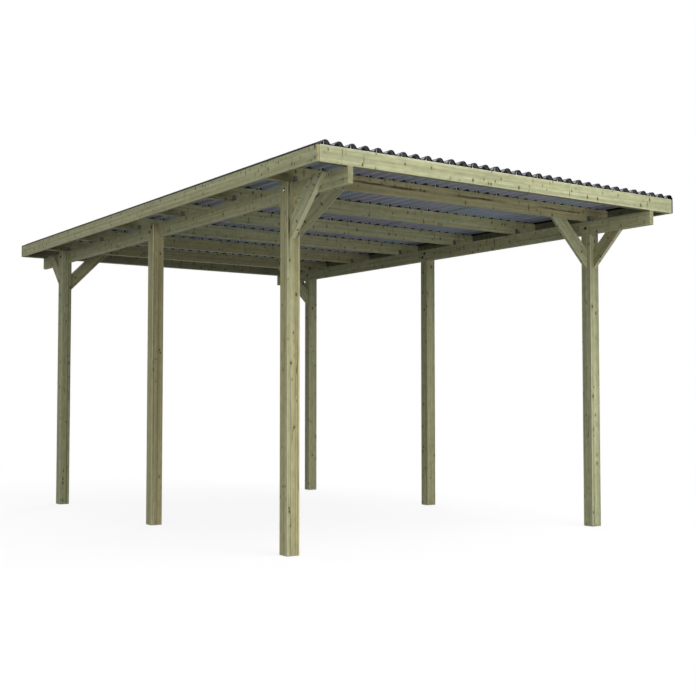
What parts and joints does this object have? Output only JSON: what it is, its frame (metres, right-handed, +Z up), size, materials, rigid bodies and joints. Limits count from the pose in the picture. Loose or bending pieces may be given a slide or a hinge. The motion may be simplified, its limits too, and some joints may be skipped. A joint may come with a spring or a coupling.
{
  "type": "carport",
  "caption": "Free-standing open timber carport: square posts, side beams, rafters, knee braces and fascia boards under a level roof of dark corrugated sheets.",
  "frame": {"origin": "on the ground, in the middle of the roof's plan", "axes": "+X to the right seen from the front, +Y from the front to the back along the bay, +Z up"},
  "size_m": [3, 5, 2.365],
  "materials": {
    "timber": "planed pressure-treated pine, greenish yellow with small knots",
    "roof_sheet": "anthracite corrugated sheet, slightly glossy",
    "bracket": "galvanised steel"
  },
  "bodies": {
    "root": {"post_front_left": "timber", "post_front_right": "timber", "post_middle_left": "timber", "post_middle_right": "timber", "post_back_left": "timber", "post_back_right": "timber", "beam_left": "timber", "beam_right": "timber", "rafter_1": "timber", "rafter_2": "timber", "rafter_3": "timber", "rafter_4": "timber", "rafter_5": "timber", "rafter_6": "timber", "fascia_front": "timber", "fascia_back": "timber", "fascia_left": "timber", "fascia_right": "timber", "side_brace_front_left": "timber", "side_brace_front_right": "timber", "side_brace_back_left": "timber", "side_brace_back_right": "timber", "cross_brace_front_left": "timber", "cross_brace_front_right": "timber", "cross_brace_back_left": "timber", "cross_brace_back_right": "timber", "brackets_left": "bracket", "brackets_right": "bracket", "sheet_left": "roof_sheet", "sheet_middle": "roof_sheet", "sheet_right": "roof_sheet"}
  },
  "joints": []
}
